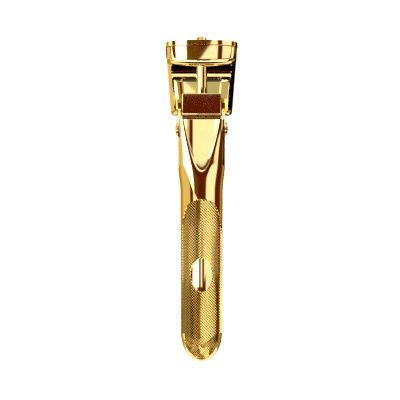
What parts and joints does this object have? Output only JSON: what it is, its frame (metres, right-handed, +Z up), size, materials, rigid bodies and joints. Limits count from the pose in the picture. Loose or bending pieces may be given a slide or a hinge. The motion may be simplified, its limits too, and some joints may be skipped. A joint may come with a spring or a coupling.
{
  "type": "safety razor",
  "caption": "Polished gold safety razor with a single-edge blade, a head that tilts on a fork and slides on a rod, and a diamond-knurled grip.",
  "frame": {"origin": "middle of the razor, on the surface it lies on", "axes": "+X across the width along the blade's edge, +Y from the grip to the cap, +Z up, out of the back of the head"},
  "size_m": [0.039, 0.1764, 0.0219],
  "materials": {
    "gold_casting": "mirror polished, gold coloured",
    "gold_fitting": "mirror polished, gold coloured",
    "spring_steel": "satin",
    "bush_bronze": "machined",
    "blade_steel": "ground",
    "magnet": "nickel plated"
  },
  "bodies": {
    "handle": {"handle": "gold_casting", "pivot_bush_left": "bush_bronze", "pivot_bush_right": "bush_bronze", "return_spring": "spring_steel"},
    "plunger": {"return_plunger": "spring_steel"},
    "carrier": {"pivot_block": "gold_casting", "pivot_screw_left": "gold_fitting", "pivot_screw_right": "gold_fitting", "pivot_washers": "bush_bronze", "guide_rod": "gold_fitting", "rod_lock_screw": "spring_steel", "spring_seat": "spring_steel", "slide_spring": "spring_steel", "cap": "gold_casting", "guide_pins": "spring_steel"},
    "nut": {"cap_nut": "gold_fitting"},
    "head": {"head_body": "gold_casting", "rod_bush": "bush_bronze", "guard_bar": "gold_fitting", "blade": "blade_steel", "blade_magnets": "magnet"}
  },
  "joints": [
    {"name": "head_pivot", "type": "hinge", "parent": "handle", "child": "carrier", "pos_m": [0, 0.0388, 0.0142], "axis": [1, 0, 0], "range_deg": [0, 15], "stiffness_Nm_per_rad": 0.12, "springref_deg": -34.38},
    {"name": "plunger_slide", "type": "slide", "parent": "handle", "child": "plunger", "axis": [0, -1, 0], "range_m": [0, 0.0007], "deforming": ["return_spring"]},
    {"name": "head_slide", "type": "slide", "parent": "carrier", "child": "head", "axis": [0, -1, 0], "range_m": [0, 0.003], "stiffness_N_per_m": 800, "springref_m": -0.004, "deforming": ["slide_spring"]},
    {"name": "cap_nut_turn", "type": "hinge", "parent": "carrier", "child": "nut", "pos_m": [0, 0.086, 0.0164], "axis": [0, 1, 0], "continuous": true}
  ],
  "couplings": [
    {"joint": "plunger_slide", "follows": "head_pivot", "m_per_rad": 0.0023}
  ]
}
